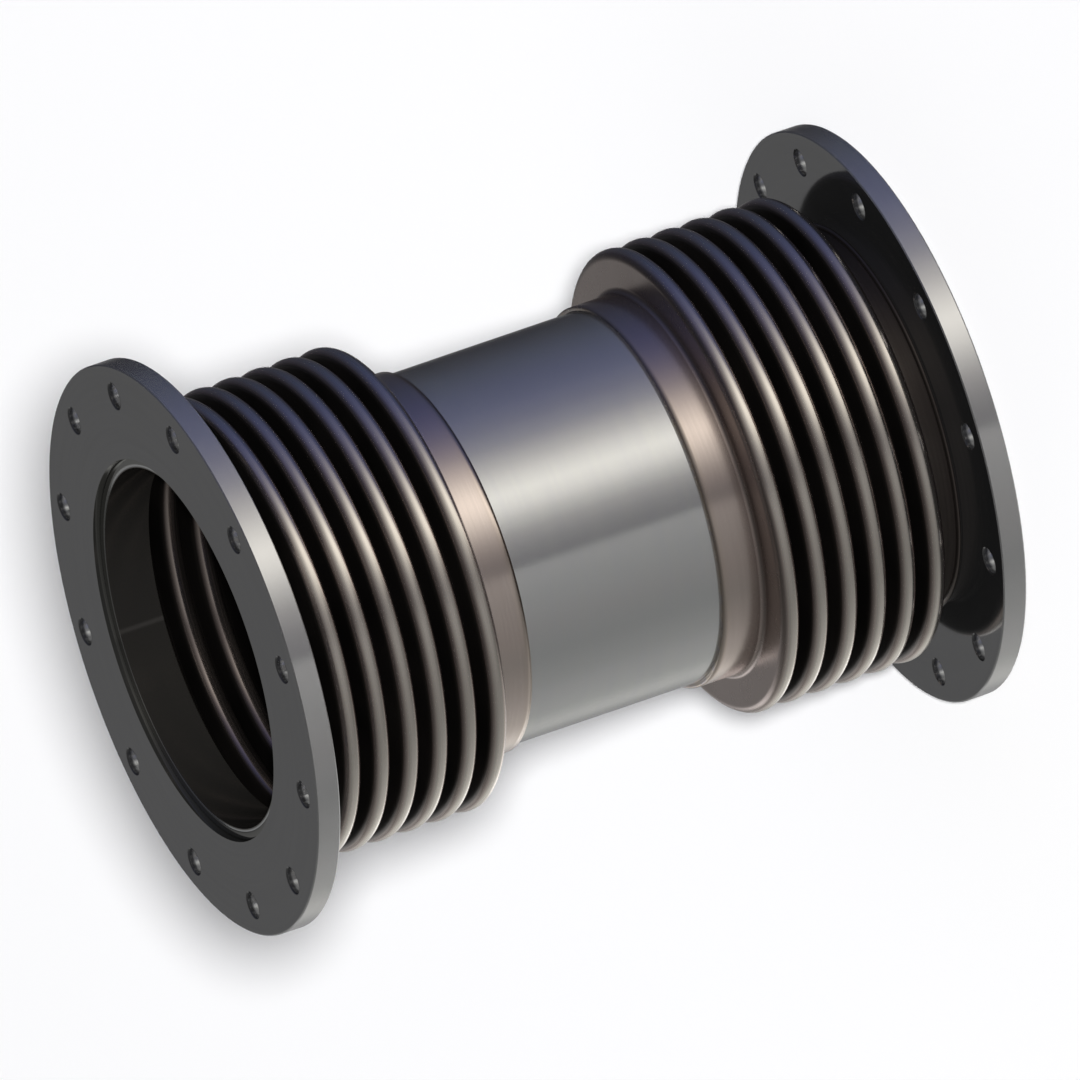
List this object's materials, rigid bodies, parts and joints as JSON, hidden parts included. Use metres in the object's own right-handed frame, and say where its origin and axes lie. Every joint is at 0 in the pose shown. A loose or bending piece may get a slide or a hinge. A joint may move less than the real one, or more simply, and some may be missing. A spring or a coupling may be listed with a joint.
{
  "type": "metal bellows expansion joint",
  "caption": "Universal pipe expansion joint: a plain centre pipe between convoluted metal bellows, with a bolted plate flange at each end.",
  "frame": {"origin": "centre of the lower flange's outer face, on the pipe axis; the joint stands on this face", "axes": "+Z along the pipe axis, from the lower flange to the upper flange; +X and +Y each pass midway between bolt holes"},
  "size_m": [0.3749, 0.375, 0.496],
  "materials": {
    "flange_plate": "dark satin plate, turned rim",
    "pipe_steel": "smooth satin pipe",
    "bellows_sheet": "bright cold-formed stainless sheet",
    "weld_bead": "heat-tinted weld bead"
  },
  "bodies": {
    "lower_end": {"lower_flange": "flange_plate", "lower_stub": "pipe_steel", "lower_bellows": "bellows_sheet", "lower_face_weld": "weld_bead", "lower_back_weld": "weld_bead"},
    "middle": {"centre_pipe": "pipe_steel", "lower_cuff_weld": "weld_bead", "upper_cuff_weld": "weld_bead"},
    "upper_end": {"upper_flange": "flange_plate", "upper_stub": "pipe_steel", "upper_bellows": "bellows_sheet", "upper_face_weld": "weld_bead", "upper_back_weld": "weld_bead"}
  },
  "joints": [
    {"name": "lower_flex", "type": "slide", "parent": "lower_end", "child": "middle", "axis": [0, 0, 1], "range_m": [-0.015, 0.01], "stiffness_N_per_m": 350000, "deforming": ["lower_bellows"]},
    {"name": "upper_flex", "type": "slide", "parent": "middle", "child": "upper_end", "axis": [0, 0, 1], "range_m": [-0.015, 0.01], "stiffness_N_per_m": 350000, "deforming": ["upper_bellows"]}
  ]
}
